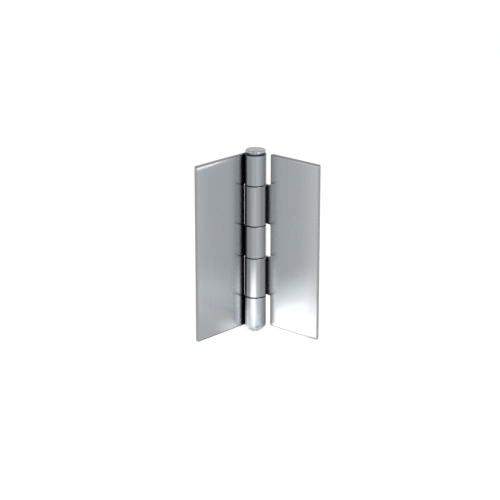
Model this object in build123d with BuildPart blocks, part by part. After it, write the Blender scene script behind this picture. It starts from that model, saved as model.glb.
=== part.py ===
from build123d import *

import os
from math import asin, degrees, sqrt

# A five-knuckle butt hinge in polished sheet steel, half open, with its leaves square to each
# other. Z runs along the pin. The origin is where the hinge is set out from: on the back of the
# three-knuckle leaf, in line with the pin and halfway up. That leaf reaches along -X with its
# back to +Y, and the two-knuckle leaf reaches along -Y with its back to +X. Each back is plain
# and flat, and lies in a plane that touches the barrel, so a leaf can be welded or bonded down
# without packing.

# Leaves
leaf_height = 100.0
leaf_reach = 42.0  # pin axis to a leaf's free edge
sheet = 2.0
leaf_corner = 0.8
middle_knuckle = 18.6  # the middle knuckle's share of the barrel, to the middle of its seams
paired_knuckle = 23.1  # the same for each knuckle of the two-knuckle leaf
seam = 0.5  # gap between the ends of neighbouring knuckles
roll_gap = 0.3  # slit between a knuckle's rolled end and its own leaf
close_notch_clear = 0.1  # three-knuckle leaf's notches, to the barrel that turns in them
wide_notch_clear = 2.4  # two-knuckle leaf's notches, to the barrel that turns in them
notch_corner = 0.8  # in the wide notches; the close ones are cut square
edge_round = 0.35  # tumbled sheet edges and knuckle ends

# Pin, with a flat button head on an undercut neck
pin_diameter = 8.0
pin_clear = 0.05  # between the pin and the rolled knuckles, all round
pin_lead = 0.8
neck_diameter = 9.8
neck_height = 1.1
head_diameter = 11.2
head_height = 1.2
head_round = 0.6

# Domed plug that closes the bottom of the barrel
plug_clear = 0.02  # tap-in fit in the bottom knuckle
plug_depth = 6.0
plug_lead = 0.5
plug_gap = 0.3  # pin's foot to the plug
dome_diameter = 11.3
dome_land = 0.4  # straight rim above the dome
dome_height = 3.5

# Sizes that follow from the ones above
top = leaf_height / 2
bottom = -leaf_height / 2
pin_r = pin_diameter / 2
bore_r = pin_r + pin_clear
barrel_r = bore_r + sheet
close_notch = sqrt((barrel_r + close_notch_clear) ** 2 - bore_r**2)
wide_notch = sqrt((barrel_r + wide_notch_clear) ** 2 - bore_r**2)
near_seam = middle_knuckle / 2
far_seam = near_seam + paired_knuckle
half_seam = seam / 2
sheet_round = min(edge_round, 0.4 * sheet)

# A knuckle's roll starts where the back of its leaf touches the barrel, and runs round the pin
# until its outer corner is one slit short of the leaf's front.
roll_sweep = 270 + degrees(asin((bore_r - roll_gap) / barrel_r))

# The pin stands a barrel's radius in front of the origin.
pin_axis = Axis((0, -barrel_r, 0), (0, 0, 1))
across_pin = Plane(origin=pin_axis.position)
along_pin = Plane.XZ.offset(barrel_r)

os.makedirs("parts", exist_ok=True)

# Rolled eye of a knuckle, seen along the pin
with BuildSketch() as eye:
    with BuildLine():
        outside = CenterArc((0, 0), barrel_r, 90, -roll_sweep)
        inside = CenterArc((0, 0), bore_r, 90, -roll_sweep)
        Line(outside @ 0, inside @ 0)
        Line(outside @ 1, inside @ 1)
    make_face()

# Leaf with the top, middle and bottom knuckles: a flat blank, notched for the other leaf's
# knuckles, with an eye rolled on each tab that is left
with BuildPart() as three_knuckle_leaf:
    with BuildSketch(Plane.XZ) as blank:
        Rectangle(leaf_reach, leaf_height, align=(Align.MAX, Align.CENTER))
        fillet(blank.vertices().group_by(Axis.X)[0], leaf_corner)
        with Locations((0, near_seam - half_seam)):
            Rectangle(close_notch, paired_knuckle + seam, align=(Align.MAX, Align.MIN), mode=Mode.SUBTRACT)
        with Locations((0, half_seam - near_seam)):
            Rectangle(close_notch, paired_knuckle + seam, align=(Align.MAX, Align.MAX), mode=Mode.SUBTRACT)
    extrude(amount=sheet)
    for foot, head in (
        (bottom, -far_seam - half_seam),
        (half_seam - near_seam, near_seam - half_seam),
        (far_seam + half_seam, top),
    ):
        with BuildSketch(across_pin.offset(foot)):
            add(eye.sketch)
        extrude(amount=head - foot)
    knuckle_rims = three_knuckle_leaf.edges().filter_by(GeomType.CIRCLE)
    fillet(knuckle_rims.filter_by(lambda e: e.radius > bore_r - 0.001), sheet_round)
three_knuckle_leaf.part.label = "three_knuckle_leaf"
export_step(three_knuckle_leaf.part, "parts/three_knuckle_leaf.step")

# Leaf with the two knuckles in between, rolled the other way round the pin
with BuildPart() as two_knuckle_leaf:
    with BuildSketch(Plane(origin=(barrel_r, -barrel_r, 0), x_dir=(0, 1, 0), z_dir=(1, 0, 0))) as blank:
        Rectangle(leaf_reach, leaf_height, align=(Align.MAX, Align.CENTER))
        fillet(blank.vertices().group_by(Axis.X)[0], leaf_corner)
        Rectangle(
            wide_notch, middle_knuckle + seam, align=(Align.MAX, Align.CENTER), mode=Mode.SUBTRACT
        )
        with Locations((0, far_seam - half_seam)):
            Rectangle(wide_notch, top, align=(Align.MAX, Align.MIN), mode=Mode.SUBTRACT)
        with Locations((0, half_seam - far_seam)):
            Rectangle(wide_notch, top, align=(Align.MAX, Align.MAX), mode=Mode.SUBTRACT)
        notch_roots = blank.vertices().filter_by(lambda v: abs(v.X + wide_notch) < 0.001)
        fillet(notch_roots, notch_corner)
    extrude(amount=-sheet)
    for head, foot in (
        (far_seam - half_seam, near_seam + half_seam),
        (-near_seam - half_seam, half_seam - far_seam),
    ):
        with BuildSketch(Plane(origin=(0, -barrel_r, head), x_dir=(0, 1, 0), z_dir=(0, 0, -1))):
            add(eye.sketch)
        extrude(amount=head - foot)
    knuckle_rims = two_knuckle_leaf.edges().filter_by(GeomType.CIRCLE)
    fillet(knuckle_rims.filter_by(lambda e: e.radius > bore_r - 0.001), sheet_round)
two_knuckle_leaf.part.label = "two_knuckle_leaf"
export_step(two_knuckle_leaf.part, "parts/two_knuckle_leaf.step")

# Pin: its neck stands on the top knuckle, and its foot stops short of the plug
with BuildPart() as hinge_pin:
    pin_foot = bottom + plug_depth + plug_gap
    head_foot = top + neck_height
    with BuildSketch(along_pin) as pin_half:
        with BuildLine():
            Polyline(
                (0, pin_foot),
                (pin_r - pin_lead, pin_foot),
                (pin_r, pin_foot + pin_lead),
                (pin_r, top),
                (neck_diameter / 2, top),
                (neck_diameter / 2, head_foot),
                (head_diameter / 2, head_foot),
                (head_diameter / 2, head_foot + head_height),
                (0, head_foot + head_height),
                close=True,
            )
        make_face()
        head_rim = pin_half.vertices().group_by(Axis.X)[-1].sort_by(Axis.Y)
        fillet(head_rim[-1], min(head_round, 0.8 * head_height))
    revolve(axis=pin_axis)
hinge_pin.part.label = "hinge_pin"
export_step(hinge_pin.part, "parts/hinge_pin.step")

# Plug: a stem in the bottom knuckle, and a dome that seats against the knuckle's end
with BuildPart() as end_plug:
    plug_r = bore_r - plug_clear
    dome_foot = bottom - dome_land - dome_height
    with BuildSketch(along_pin):
        with BuildLine():
            Polyline(
                (dome_diameter / 2, bottom - dome_land),
                (dome_diameter / 2, bottom),
                (plug_r, bottom),
                (plug_r, bottom + plug_depth - plug_lead),
                (plug_r - plug_lead, bottom + plug_depth),
                (0, bottom + plug_depth),
                (0, dome_foot),
            )
            TangentArc((0, dome_foot), (dome_diameter / 2, bottom - dome_land), tangent=(1, 0))
        make_face()
    revolve(axis=pin_axis)
end_plug.part.label = "end_plug"
export_step(end_plug.part, "parts/end_plug.step")
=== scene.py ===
import math

import bpy
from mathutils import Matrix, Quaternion, Vector


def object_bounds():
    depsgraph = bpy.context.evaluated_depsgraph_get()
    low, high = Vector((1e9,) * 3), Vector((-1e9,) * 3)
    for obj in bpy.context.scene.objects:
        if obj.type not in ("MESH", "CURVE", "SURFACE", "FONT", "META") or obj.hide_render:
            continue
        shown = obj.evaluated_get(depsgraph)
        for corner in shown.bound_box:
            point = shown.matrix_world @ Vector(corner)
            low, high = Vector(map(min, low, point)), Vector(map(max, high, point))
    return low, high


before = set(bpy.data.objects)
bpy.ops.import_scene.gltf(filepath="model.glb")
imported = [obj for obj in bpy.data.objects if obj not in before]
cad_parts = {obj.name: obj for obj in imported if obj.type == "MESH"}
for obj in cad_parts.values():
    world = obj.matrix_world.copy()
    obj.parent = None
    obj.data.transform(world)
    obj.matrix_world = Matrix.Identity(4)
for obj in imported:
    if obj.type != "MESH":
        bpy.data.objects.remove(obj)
cad_box = [list(c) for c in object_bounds()]
scene = bpy.context.scene
scene.view_settings.view_transform = "Standard"

# The hinge, in metres: reach counts from the pin's axis, and height from halfway up the leaves
PIN_Y = -0.00605
BARREL_R = 0.00605
LEAF_REACH = 0.042
LEAF_TOP = 0.05
HEAD_FOOT = 0.0511
HEAD_TOP = 0.0523

# Where one finish gives way to another, and where a leaf's top edge is pulled over more and more,
# by reach or by height
ROLL_TO_LEAF = (BARREL_R + 0.0001, BARREL_R + 0.0009)
SIDE_TO_CROWN = (HEAD_TOP - 0.0005, HEAD_TOP - 0.0001)
FREE_EDGE = (LEAF_REACH - 0.0002, LEAF_REACH - 0.00005)
CUT_EDGE = (LEAF_TOP - 0.0008, LEAF_TOP - 0.0005)
KNUCKLE_END = (LEAF_TOP - 0.0006, LEAF_TOP - 0.0002)
PULL_GROWS = (-0.01, 0.044)

# Colours that the steels share
ROLLED = (0.40, 0.42, 0.435)
FREE_EDGE_COLOUR = (0.42, 0.425, 0.435)
CUT_EDGE_COLOUR = (0.27, 0.275, 0.285)
WORN_TINT = (0.95, 0.95, 0.955)
NO_TINT = (1.0, 1.0, 1.0)
# Black that is painted as shade in the creases
PAINTED_CREASE_SHADE = (0.012, 0.012, 0.013)
DARK_STREAK = 0.88
LIGHT_STREAK = 1.14

# The part of each noise's values that is used, and how much the marks change the finish
STREAK_RANGE = (0.35, 0.65)
LINE_RANGE = (0.25, 0.75)
CLOUD_RANGE = (0.3, 0.7)
SPECK_RANGE = (0.62, 0.75)
WEAR_RANGE = (0.3, 0.7)
LINE_WEAR = 0.45
CLOUD_WEAR = 0.55
MARK_ROUGH = (-0.02, 0.02)
SPECK_ROUGH = (0.0, 0.05)
EDGE_ROUGH = 0.2
GRAIN_STRENGTH = 0.035
GRAIN_DEPTH = 0.00002

# Share of open air that is taken as given round the pin, where a crease has to be deep to
# take the painted shade
PIN_OPEN = 0.2
KNUCKLE_OPEN = 0.36
UNDER_HEAD = -1.5  # times that share on the end of the top knuckle, so that painted shade lies there too, under the head
OPEN_AIR_REACH = 0.005
OPEN_AIR_SAMPLES = 12

# Camera at the photograph's angle: a long lens, looking down on the half-open hinge
cam_data = bpy.data.cameras.new("camera")
cam = bpy.data.objects.new("camera", cam_data)
scene.collection.objects.link(cam)
cam.location = (-0.6814, -0.62725, 0.295)
cam.rotation_euler = (math.radians(71.93), 0.0, math.radians(-47.46))
cam_data.sensor_width = 36.0
cam_data.lens = 125.0
cam_data.clip_start = 0.01
cam_data.clip_end = 50.0
scene.camera = cam


class Nodes:
    """Shorthand for wiring one node tree."""

    def __init__(self, tree):
        self.tree = tree
        tree.nodes.clear()

    def add(self, kind):
        return self.tree.nodes.new(kind)

    def put(self, value, socket):
        """Set a number or a colour on a socket, or link another socket to it."""
        if isinstance(value, tuple):
            socket.default_value = (*value, 1.0)
        elif isinstance(value, (int, float)):
            socket.default_value = value
        else:
            self.tree.links.new(value, socket)

    def math(self, op, a, b=0.0, clamp=False):
        node = self.add("ShaderNodeMath")
        node.operation = op
        node.use_clamp = clamp
        self.put(a, node.inputs[0])
        self.put(b, node.inputs[1])
        return node.outputs[0]

    def ramp(self, value, low, high, out_low=0.0, out_high=1.0):
        """Smooth step from one value to another."""
        node = self.add("ShaderNodeMapRange")
        node.interpolation_type = "SMOOTHSTEP"
        for socket, v in zip(node.inputs, (value, low, high, out_low, out_high)):
            self.put(v, socket)
        return node.outputs[0]

    def mix(self, fac, a, b, blend="MIX"):
        """Mix of two colours."""
        node = self.add("ShaderNodeMix")
        node.data_type = "RGBA"
        node.blend_type = blend
        fac_socket, a_socket, b_socket = (node.inputs[i] for i in (0, 6, 7))
        self.put(fac, fac_socket)
        self.put(a, a_socket)
        self.put(b, b_socket)
        return node.outputs[2]

    def place(self):
        return self.add("ShaderNodeTexCoord").outputs["Object"]

    def split(self, vector):
        """X, Y and Z of a vector."""
        node = self.add("ShaderNodeSeparateXYZ")
        self.put(vector, node.inputs[0])
        return node.outputs

    def join(self, x, y, z):
        node = self.add("ShaderNodeCombineXYZ")
        for socket, v in zip(node.inputs, (x, y, z)):
            self.put(v, socket)
        return node.outputs[0]

    def vector_math(self, op, vector):
        node = self.add("ShaderNodeVectorMath")
        node.operation = op
        self.put(vector, node.inputs[0])
        return node.outputs

    def noise(self, scale, detail, stretch=(1.0, 1.0, 1.0), place=None, shift=0.0):
        spread = self.add("ShaderNodeMapping")
        spread.inputs["Scale"].default_value = stretch
        spread.inputs["Location"].default_value = (0.0, 0.0, shift)
        self.put(place or self.place(), spread.inputs["Vector"])
        node = self.add("ShaderNodeTexNoise")
        self.put(scale, node.inputs["Scale"])
        self.put(detail, node.inputs["Detail"])
        self.put(spread.outputs[0], node.inputs["Vector"])
        return node.outputs["Fac"]

    def height(self):
        """Height above the hinge's middle, in metres."""
        return self.split(self.place())[2]

    def off_pin(self):
        """Level vector from the pin's axis, in metres."""
        x, y, _ = self.split(self.place())
        return self.join(x, self.math("SUBTRACT", y, PIN_Y), 0.0)

    def from_pin(self):
        """Distance from the pin's axis, in metres."""
        return self.vector_math("LENGTH", self.off_pin())["Value"]

    def output(self, kind, shader):
        self.put(shader, self.add(kind).inputs["Surface"])


def streaked(nodes, colour, shift):
    """A colour in streaks along the pin, darker and lighter by turns round it."""
    around = nodes.vector_math("NORMALIZE", nodes.off_pin())[0]
    drawn = nodes.noise(scale=3.5, detail=1.5, place=around, shift=shift)
    darker = tuple(DARK_STREAK * c for c in colour)
    lighter = tuple(LIGHT_STREAK * c for c in colour)
    return nodes.mix(nodes.ramp(drawn, *STREAK_RANGE), darker, lighter)


def crease_shaded(nodes, colour, on_flat, height, turned, crease):
    """A colour with painted black shade where the share of open air is below a crease's."""
    nearby = nodes.add("ShaderNodeAmbientOcclusion")
    nearby.samples = OPEN_AIR_SAMPLES
    nodes.put(OPEN_AIR_REACH, nearby.inputs["Distance"])
    given = nodes.ramp(on_flat, 0.0, 1.0, PIN_OPEN if turned else KNUCKLE_OPEN, 0.0)
    if not turned:
        # The painted shade also covers the end of the top knuckle, as a shadow ring under the
        # pin's head
        given = nodes.math("MULTIPLY", given, nodes.ramp(height, *KNUCKLE_END, 1.0, UNDER_HEAD))
    open_air = nodes.math("ADD", nearby.outputs["AO"], given)
    # Painted shade: the colour goes black in creases with little open air round them
    return nodes.mix(nodes.ramp(open_air, *crease), PAINTED_CREASE_SHADE, colour)


def polished(nodes, lines, reach, height, turned, pull):
    """Normal of a surface with a fine grain, pulled over a little from a height up by the
    polishing wheel, and on a leaf more so towards its free edge."""
    start, bend = pull
    over = nodes.math("MAXIMUM", nodes.math("SUBTRACT", height, start), 0.0)
    over = nodes.math("MULTIPLY", nodes.math("MULTIPLY", over, over), -bend)
    if not turned:
        over = nodes.math("MULTIPLY", over, nodes.ramp(reach, *PULL_GROWS))
    pulled = nodes.add("ShaderNodeBump")
    nodes.put(1.0, pulled.inputs["Distance"])
    nodes.put(over, pulled.inputs["Height"])
    grain = nodes.add("ShaderNodeBump")
    nodes.put(GRAIN_STRENGTH, grain.inputs["Strength"])
    nodes.put(GRAIN_DEPTH, grain.inputs["Distance"])
    nodes.put(lines, grain.inputs["Height"])
    nodes.put(pulled.outputs[0], grain.inputs["Normal"])
    return grain.outputs[0]


def steel(
    name,
    flat,
    rolled,
    flat_rough,
    rolled_rough,
    pull,
    turned=False,
    crease=(0.66, 0.86),
    streaks=0.0,
):
    """Polished steel with a fine grain, cloudy rolling marks and painted shade in its creases.
    A leaf is flat away from its rolled knuckles, and duller along its cut edges. A turned piece
    is flat on its crown, and has rings for a grain."""
    mat = bpy.data.materials.new(name)
    mat.use_nodes = True
    nodes = Nodes(mat.node_tree)
    bsdf = nodes.add("ShaderNodeBsdfPrincipled")
    nodes.put(1.0, bsdf.inputs["Metallic"])
    nodes.output("ShaderNodeOutputMaterial", bsdf.outputs[0])

    reach = nodes.from_pin()
    height = nodes.height()
    if turned:
        lines = nodes.noise(scale=3000.0, detail=2.0, place=nodes.join(reach, 0.0, height))
        on_flat = nodes.ramp(height, *SIDE_TO_CROWN)
    else:
        lines = nodes.noise(scale=2600.0, detail=3.0, stretch=(1.0, 1.0, 0.02))
        on_flat = nodes.ramp(reach, *ROLL_TO_LEAF)
    cloud = nodes.noise(scale=38.0, detail=5.0, stretch=(1.0, 1.0, 0.45))
    specks = nodes.noise(scale=900.0, detail=2.0)

    colour = nodes.mix(on_flat, streaked(nodes, rolled, streaks), flat)
    rough = nodes.ramp(on_flat, 0.0, 1.0, rolled_rough, flat_rough)
    for mark, used, change in (
        (lines, LINE_RANGE, MARK_ROUGH),
        (cloud, CLOUD_RANGE, MARK_ROUGH),
        (specks, SPECK_RANGE, SPECK_ROUGH),
    ):
        rough = nodes.math("ADD", rough, nodes.ramp(mark, *used, *change))
    if not turned:
        free_edge = nodes.ramp(reach, *FREE_EDGE)
        from_middle = nodes.math("ABSOLUTE", height)
        cut_edge = nodes.math("MULTIPLY", nodes.ramp(from_middle, *CUT_EDGE), on_flat)
        colour = nodes.mix(free_edge, colour, FREE_EDGE_COLOUR)
        colour = nodes.mix(cut_edge, colour, CUT_EDGE_COLOUR)
        edge = nodes.math("MAXIMUM", cut_edge, free_edge)
        rough = nodes.math("ADD", rough, nodes.math("MULTIPLY", edge, EDGE_ROUGH))
    line_wear = nodes.math("MULTIPLY", lines, LINE_WEAR)
    wear = nodes.math("ADD", line_wear, nodes.math("MULTIPLY", cloud, CLOUD_WEAR))
    tint = nodes.mix(nodes.ramp(wear, *WEAR_RANGE), WORN_TINT, NO_TINT)
    colour = nodes.mix(1.0, colour, tint, blend="MULTIPLY")
    # Base colour, with painted shade in the creases
    nodes.put(crease_shaded(nodes, colour, on_flat, height, turned, crease), bsdf.inputs["Base Color"])
    nodes.put(rough, bsdf.inputs["Roughness"])
    nodes.put(polished(nodes, lines, reach, height, turned, pull), bsdf.inputs["Normal"])
    return mat


finishes = {
    "three_knuckle_leaf": steel(
        "leaf_steel",
        flat=(0.60, 0.62, 0.64),
        rolled=ROLLED,
        flat_rough=0.24,
        rolled_rough=0.32,
        pull=(LEAF_TOP - 0.0036, 58.0),
        streaks=1.7,
    ),
    "two_knuckle_leaf": steel(
        "leaf_steel_two",
        flat=(0.625, 0.645, 0.665),
        rolled=ROLLED,
        flat_rough=0.24,
        rolled_rough=0.32,
        pull=(LEAF_TOP - 0.0015, 200.0),
        crease=(0.5, 0.74),
        streaks=0.4,
    ),
    # The pin has a lighter colour on its side than on its crown: painted light on the head's side,
    # which adds to the rim lamp's real highlight there
    "hinge_pin": steel(
        "pin_steel",
        flat=(0.31, 0.315, 0.325),
        rolled=(0.41, 0.415, 0.425),
        flat_rough=0.2,
        rolled_rough=0.2,
        pull=(HEAD_FOOT, 400.0),
        turned=True,
    ),
    "end_plug": steel(
        "plug_steel",
        flat=(0.5, 0.505, 0.515),
        rolled=(0.5, 0.505, 0.515),
        flat_rough=0.3,
        rolled_rough=0.3,
        pull=(LEAF_TOP, 0.0),
        turned=True,
        crease=(0.0, 0.1),
    ),
}
for node, mat in finishes.items():
    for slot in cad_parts[node].material_slots:
        slot.material = mat


def show_white(nodes, kind, lit, shown):
    """Output that shows one shader to the rays that see a background, from the camera, mirrored
    or let through, and another to the rays that light the hinge."""
    rays = nodes.add("ShaderNodeLightPath").outputs
    seen = nodes.math("ADD", rays["Is Camera Ray"], rays["Is Glossy Ray"], clamp=True)
    seen = nodes.math("ADD", seen, rays["Is Transmission Ray"], clamp=True)
    both = nodes.add("ShaderNodeMixShader")
    nodes.put(seen, both.inputs[0])
    nodes.put(lit, both.inputs[1])
    nodes.put(shown, both.inputs[2])
    nodes.output(kind, both.outputs[0])


# Plain pale floor just under the hinge
FLOOR_GAP = 0.0002
FLOOR_HALF = 4
ground = cad_box[0][2] - FLOOR_GAP
corners = [
    (-FLOOR_HALF, -FLOOR_HALF, ground),
    (FLOOR_HALF, -FLOOR_HALF, ground),
    (FLOOR_HALF, FLOOR_HALF, ground),
    (-FLOOR_HALF, FLOOR_HALF, ground),
]
floor_mesh = bpy.data.meshes.new("floor")
floor_mesh.from_pydata(corners, [], [(0, 1, 2, 3)])
floor = bpy.data.objects.new("floor", floor_mesh)
scene.collection.objects.link(floor)

# The floor's paper. The camera sees it white, with a faint shadow. The steel mirrors it white far
# off, with painted shade that dims it towards the hinge, a painted pool of light close to the
# barrel's foot, and painted shade behind the leaves.
PAPER = (0.8, 0.8, 0.8)
WHITE_GLOW = 0.71
SHADOWED = (0.62, 0.62, 0.62)
BLACK = (0.0, 0.0, 0.0)
DIM_RANGE = (0.026, 0.06)
DIM = 0.68
FOOT_RANGE = (0.009, 0.018)
FOOT_GLOW = 0.4
BACK_X = 0.006
BACK_Y = 0.0
BEHIND_DEPTH = 0.03
BEHIND_DIM = 0.82
paper = bpy.data.materials.new("paper")
paper.use_nodes = True
nodes = Nodes(paper.node_tree)
from_pin = nodes.from_pin()
# Painted shade of the hinge, and a painted pool of light at the barrel's foot, in what the steel
# mirrors
mirrored = nodes.ramp(from_pin, *DIM_RANGE, DIM, 1.0)
mirrored = nodes.math("ADD", mirrored, nodes.ramp(from_pin, *FOOT_RANGE, FOOT_GLOW, 0.0))
x, y, _ = nodes.split(nodes.place())
# Painted shade behind the leaves
for across, start in ((x, BACK_X), (y, BACK_Y)):
    behind = nodes.ramp(across, start, start + BEHIND_DEPTH, 1.0, BEHIND_DIM)
    mirrored = nodes.math("MULTIPLY", mirrored, behind)
by_camera = nodes.add("ShaderNodeLightPath").outputs["Is Camera Ray"]
mirrored = nodes.math("MULTIPLY", nodes.math("SUBTRACT", 1.0, by_camera), mirrored)
white = nodes.add("ShaderNodeEmission")
glow = nodes.math("ADD", mirrored, nodes.math("MULTIPLY", by_camera, WHITE_GLOW))
nodes.put(glow, white.inputs["Strength"])
shadowed = nodes.add("ShaderNodeBsdfDiffuse")
nodes.put(nodes.mix(by_camera, BLACK, SHADOWED), shadowed.inputs["Color"])
shown = nodes.add("ShaderNodeAddShader")
nodes.put(white.outputs[0], shown.inputs[0])
nodes.put(shadowed.outputs[0], shown.inputs[1])
matt = nodes.add("ShaderNodeBsdfDiffuse")
nodes.put(PAPER, matt.inputs["Color"])
show_white(nodes, "ShaderNodeOutputMaterial", matt.outputs[0], shown.outputs[0])
floor_mesh.materials.append(paper)

# Soft studio room, white where it is seen
ROOM_GREY = (0.5, 0.5, 0.5)
ROOM_WHITE = (1.0, 1.0, 1.0)
world = bpy.data.worlds.new("studio")
scene.world = world
world.use_nodes = True
nodes = Nodes(world.node_tree)
room = nodes.add("ShaderNodeBackground")
nodes.put(ROOM_GREY, room.inputs["Color"])
plain = nodes.add("ShaderNodeBackground")
nodes.put(ROOM_WHITE, plain.inputs["Color"])
show_white(nodes, "ShaderNodeOutputWorld", room.outputs[0], plain.outputs[0])

GLOW_POWER = 4.0  # watts per square metre of a lamp that is as bright as the white room


def softbox(name, place, facing, size, glow, fades=None, lean=0.0, once=True):
    """An area lamp whose glow is even, or fades out between two heights above the floor, which
    rise along -Y where it leans; 1 is as bright as the white room. Its light is mirrored once, or
    as often as it meets steel."""
    width, high = size
    data = bpy.data.lights.new(name, "AREA")
    data.shape = "RECTANGLE"
    data.size = width
    data.size_y = high
    data.energy = GLOW_POWER * glow * width * high
    if once:
        data.cycles.max_bounces = 0
    lamp = bpy.data.objects.new(name, data)
    scene.collection.objects.link(lamp)
    lamp.location = place
    lamp.rotation_mode = "QUATERNION"
    lamp.rotation_quaternion = Vector(facing).to_track_quat("-Z", "Y")
    if fades:
        data.use_nodes = True
        nodes = Nodes(data.node_tree)
        shine = nodes.add("ShaderNodeEmission")
        _, y, z = nodes.split(nodes.add("ShaderNodeNewGeometry").outputs["Position"])
        rise = nodes.math("MULTIPLY", nodes.math("SUBTRACT", y, place[1]), lean)
        level = nodes.math("SUBTRACT", nodes.math("ADD", z, rise), ground)
        nodes.put(nodes.ramp(level, *fades, 1.0, 0.0), shine.inputs["Strength"])
        nodes.output("ShaderNodeOutputLight", shine.outputs[0])
    return lamp


# Key light above
softbox("key", (-0.07, -0.50, 0.34), facing=(0.07, 0.49395, -0.30), size=(0.25, 0.25), glow=3.5)

# Low light between the leaves, which shows in the foot of the two-knuckle leaf. Most of it isn't
# mirrored a second time, in the other leaf.
LOW_TURN = math.radians(12)
for name, share, once in (("low", 0.72, True), ("low_again", 0.28, False)):
    low = softbox(
        name,
        (-0.005, -0.028, ground + 0.010),
        facing=(0.93, 0.0, 0.37),
        size=(0.052, 0.0215),
        glow=share,
        fades=(0.006, 0.021),
        lean=0.22,
        once=once,
    )
    low.rotation_quaternion @= Quaternion((0, 0, 1), LOW_TURN)
    low.data.cycles.use_multiple_importance_sampling = not once

# Low light in front of the three-knuckle leaf, which shows in the other leaf's foot
softbox(
    "back",
    (-0.025, -0.0035, ground + 0.014),
    facing=(0.0, -1.0, 0.0),
    size=(0.040, 0.028),
    glow=0.75,
    fades=(0.0, 0.028),
)

# Narrow light beside the lower knuckles, which puts a streak on them
foot = softbox(
    "foot",
    (-0.0117, PIN_Y - 0.0057, ground + 0.0240),
    facing=(0.931, 0.365, 0.0),
    size=(0.012, 0.046),
    glow=0.64,
    fades=(0.02, 0.046),
)
foot.data.spread = math.radians(100)

# Flat light beyond the two-knuckle leaf, which shows in the other leaf's top edge
softbox("rim", (0.33, -0.36, 0.085), facing=(-0.37, 0.358, -0.035), size=(0.16, 0.06), glow=1.0)
